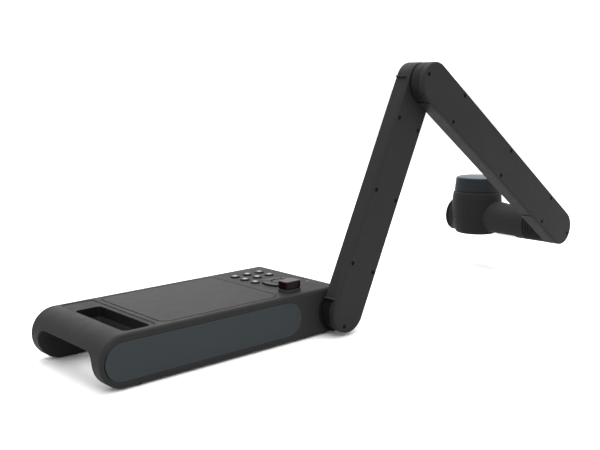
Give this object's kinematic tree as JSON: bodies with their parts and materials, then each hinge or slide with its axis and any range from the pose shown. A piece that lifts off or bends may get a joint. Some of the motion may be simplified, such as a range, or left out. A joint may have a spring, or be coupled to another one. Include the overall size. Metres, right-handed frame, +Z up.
{
  "type": "document camera",
  "caption": "Desktop document camera used as an overhead book scanner: flat base with a carrying handle, side-folding arm in two links, ribbed neck with a lamp, and a drum-shaped camera head.",
  "frame": {"origin": "middle of the footprint box, on the surface the feet stand on", "axes": "+X from the carrying handle to the arm hinge and the camera head, +Y from the arm side to the socket side, +Z up"},
  "size_m": [0.7908, 0.1978, 0.3209],
  "materials": {
    "body_plastic": "fine-textured satin charcoal",
    "plate_plastic": "smooth satin charcoal",
    "arm_plastic": "satin dark grey",
    "dark_plastic": "matt black",
    "inlay_plastic": "satin blue-grey",
    "key_plastic": "light grey, softly glossy",
    "window_plastic": "dark red, glossy, see-through to infra-red",
    "seat_plastic": "satin mid grey",
    "light_plastic": "pale green light pipe",
    "lamp_plastic": "milky white diffuser",
    "foot_rubber": "matt black",
    "circuit_board": "green lacquer",
    "lens_glass": "coated lens",
    "steel": "brushed"
  },
  "bodies": {
    "base": {"base_shell": "body_plastic", "bottom_cover": "dark_plastic", "ballast_plate": "steel", "main_board": "circuit_board", "key_board": "circuit_board", "handle_insert": "body_plastic", "control_plate": "plate_plastic", "near_side_inlay": "inlay_plastic", "port_side_inlay": "inlay_plastic", "power_inlet": "dark_plastic", "video_socket_1": "dark_plastic", "video_socket_2": "dark_plastic", "data_socket": "dark_plastic", "window_seat": "seat_plastic", "remote_window": "window_plastic", "status_light": "light_plastic", "foot_1": "foot_rubber", "foot_2": "foot_rubber", "foot_3": "foot_rubber", "foot_4": "foot_rubber", "hinge_collar": "dark_plastic", "hinge_drum": "dark_plastic", "hinge_washer": "steel", "hinge_shaft": "steel"},
    "lower_arm": {"lower_arm_cover": "arm_plastic", "lower_arm_body": "arm_plastic", "lower_arm_spine": "steel", "elbow_housing": "arm_plastic", "elbow_drum": "arm_plastic", "elbow_washer": "steel", "elbow_shaft": "steel"},
    "upper_arm": {"upper_arm_cover": "arm_plastic", "upper_arm_body": "arm_plastic", "upper_arm_spine": "steel", "upper_arm_end": "arm_plastic"},
    "head": {"neck_ribs": "dark_plastic", "neck_lower_shell": "body_plastic", "neck_upper_shell": "body_plastic", "neck_shaft": "steel", "lamp_diffuser": "lamp_plastic", "lamp_board": "circuit_board", "head_lower_shell": "body_plastic", "head_upper_shell": "body_plastic", "head_cap": "inlay_plastic", "pivot_cover": "dark_plastic", "lens_barrel": "dark_plastic", "lens_glass": "lens_glass", "sensor_board": "circuit_board"},
    "key_1_body": {"key_1": "key_plastic"},
    "key_2_body": {"key_2": "key_plastic"},
    "key_3_body": {"key_3": "key_plastic"},
    "key_4_body": {"key_4": "key_plastic"},
    "key_5_body": {"key_5": "key_plastic"},
    "key_6_body": {"key_6": "key_plastic"},
    "key_7_body": {"key_7": "key_plastic"},
    "ring_key_right_body": {"ring_key_right": "key_plastic"},
    "ring_key_up_body": {"ring_key_up": "key_plastic"},
    "ring_key_left_body": {"ring_key_left": "key_plastic"},
    "ring_key_down_body": {"ring_key_down": "key_plastic"},
    "ring_middle_key_body": {"ring_middle_key": "key_plastic"}
  },
  "joints": [
    {"name": "base_hinge", "type": "hinge", "parent": "base", "child": "lower_arm", "pos_m": [-0.08068, -0.06525, 0.029], "axis": [0, 1, 0], "range_deg": [-115.2, 4.8]},
    {"name": "elbow_hinge", "type": "hinge", "parent": "lower_arm", "child": "upper_arm", "pos_m": [0.04484, -0.08725, 0.29574], "axis": [0, -1, 0], "range_deg": [-80.7, 80]},
    {"name": "neck_swivel", "type": "hinge", "parent": "upper_arm", "child": "head", "pos_m": [0.35578, -0.07625, 0.08204], "axis": [0, -1, 0], "range_deg": [-34.5, 90]},
    {"name": "key_1_press", "type": "slide", "parent": "base", "child": "key_1_body", "axis": [0, 0, -1], "range_m": [0, 0.0008], "stiffness_N_per_m": 500},
    {"name": "key_2_press", "type": "slide", "parent": "base", "child": "key_2_body", "axis": [0, 0, -1], "range_m": [0, 0.0008], "stiffness_N_per_m": 500},
    {"name": "key_3_press", "type": "slide", "parent": "base", "child": "key_3_body", "axis": [0, 0, -1], "range_m": [0, 0.0008], "stiffness_N_per_m": 500},
    {"name": "key_4_press", "type": "slide", "parent": "base", "child": "key_4_body", "axis": [0, 0, -1], "range_m": [0, 0.0008], "stiffness_N_per_m": 500},
    {"name": "key_5_press", "type": "slide", "parent": "base", "child": "key_5_body", "axis": [0, 0, -1], "range_m": [0, 0.0008], "stiffness_N_per_m": 500},
    {"name": "key_6_press", "type": "slide", "parent": "base", "child": "key_6_body", "axis": [0, 0, -1], "range_m": [0, 0.0008], "stiffness_N_per_m": 500},
    {"name": "key_7_press", "type": "slide", "parent": "base", "child": "key_7_body", "axis": [0, 0, -1], "range_m": [0, 0.0008], "stiffness_N_per_m": 500},
    {"name": "ring_key_right_press", "type": "slide", "parent": "base", "child": "ring_key_right_body", "axis": [0, 0, -1], "range_m": [0, 0.0008], "stiffness_N_per_m": 500},
    {"name": "ring_key_up_press", "type": "slide", "parent": "base", "child": "ring_key_up_body", "axis": [0, 0, -1], "range_m": [0, 0.0008], "stiffness_N_per_m": 500},
    {"name": "ring_key_left_press", "type": "slide", "parent": "base", "child": "ring_key_left_body", "axis": [0, 0, -1], "range_m": [0, 0.0008], "stiffness_N_per_m": 500},
    {"name": "ring_key_down_press", "type": "slide", "parent": "base", "child": "ring_key_down_body", "axis": [0, 0, -1], "range_m": [0, 0.0008], "stiffness_N_per_m": 500},
    {"name": "ring_middle_key_press", "type": "slide", "parent": "base", "child": "ring_middle_key_body", "axis": [0, 0, -1], "range_m": [0, 0.0008], "stiffness_N_per_m": 500}
  ]
}
